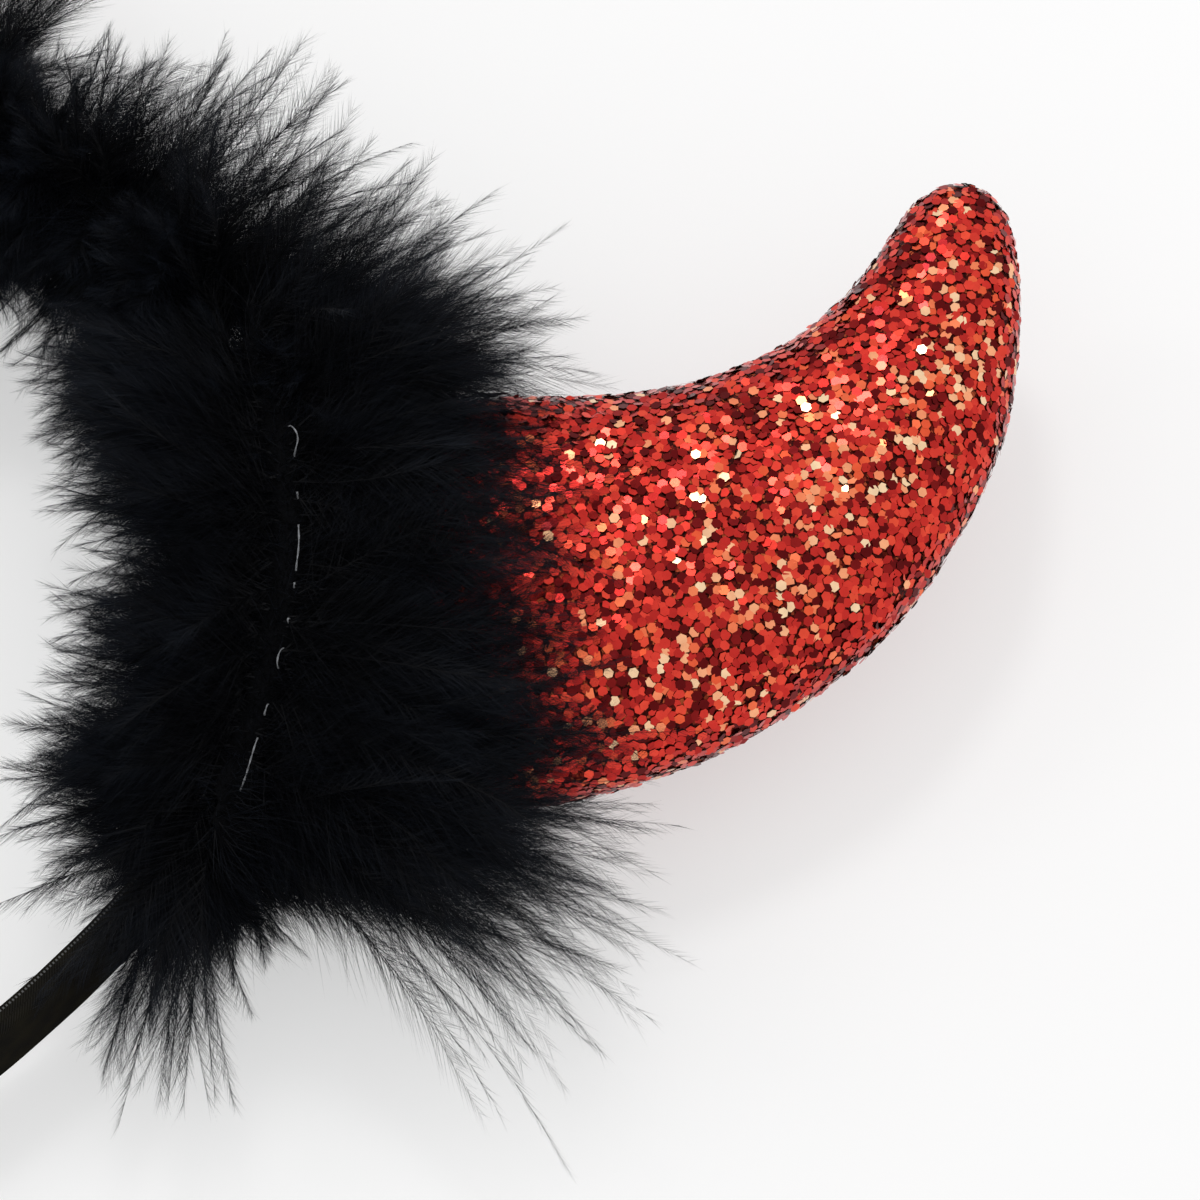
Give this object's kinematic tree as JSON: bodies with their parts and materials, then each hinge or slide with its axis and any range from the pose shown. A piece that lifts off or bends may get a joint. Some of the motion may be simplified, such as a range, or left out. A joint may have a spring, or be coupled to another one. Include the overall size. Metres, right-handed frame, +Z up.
{
  "type": "devil horns headband",
  "caption": "Costume headband: satin wrapped arch with padded glitter horns and a black feather trim round their bases and over the crown, lying on its side.",
  "frame": {"origin": "on the surface that the headband lies on, under the middle of its bounding box", "axes": "+X sideways from the left horn to the right horn as it lies, +Y from the leg ends towards the crown and the horn tips, +Z up from the surface"},
  "size_m": [0.2138, 0.2064, 0.0446],
  "materials": {
    "black_satin": "satin",
    "red_glitter": "gloss",
    "black_marabou": "matte"
  },
  "bodies": {
    "root": {"satin_band": "black_satin", "horn_right": "red_glitter", "horn_left": "red_glitter", "marabou_collar_right": "black_marabou", "marabou_collar_left": "black_marabou", "marabou_crown": "black_marabou"}
  },
  "joints": []
}
